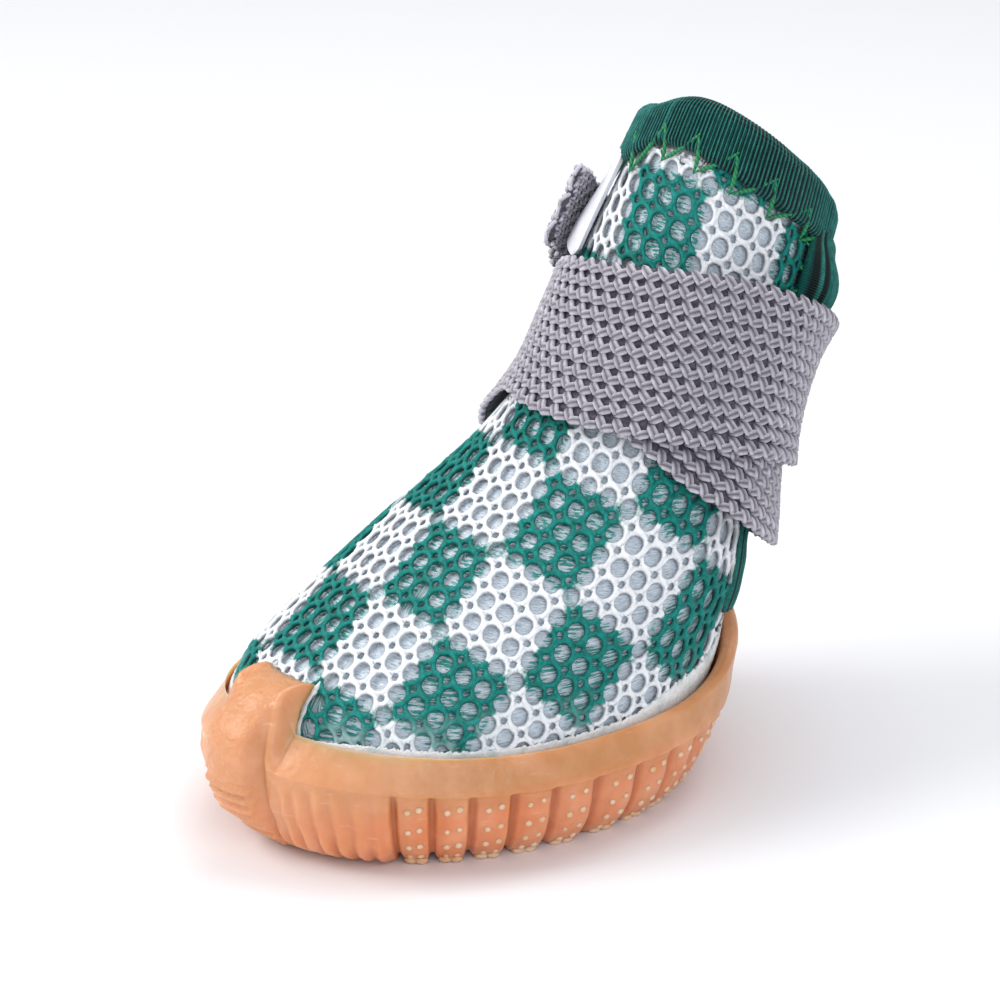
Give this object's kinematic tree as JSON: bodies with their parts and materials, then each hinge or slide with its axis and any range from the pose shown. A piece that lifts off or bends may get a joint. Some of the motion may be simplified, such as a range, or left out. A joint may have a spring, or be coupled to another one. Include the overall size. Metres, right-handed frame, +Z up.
{
  "type": "dog boot",
  "caption": "Dog boot with a moulded rubber cup sole, a hollow air-mesh upper, a rib-knit collar and a wound elastic strap.",
  "frame": {"origin": "bottom centre of the boot's box, on the floor under the middle of its length and width", "axes": "+Z up, -Y towards the toe, +X towards the boot's left side"},
  "size_m": [0.0456, 0.0803, 0.0691],
  "materials": {
    "gum_rubber": "satin translucent gum",
    "air_mesh": "teal and white checked air mesh",
    "foam_insole": "matt knit-faced foam",
    "rib_knit": "dark green rib knit",
    "braided_elastic": "grey-lilac braided elastic",
    "smooth_tape": "pale lilac smooth tape"
  },
  "bodies": {
    "root": {"outsole": "gum_rubber", "upper": "air_mesh", "insole": "foam_insole", "collar_binding": "rib_knit", "strap": "braided_elastic", "hook_tape": "smooth_tape"}
  },
  "joints": []
}
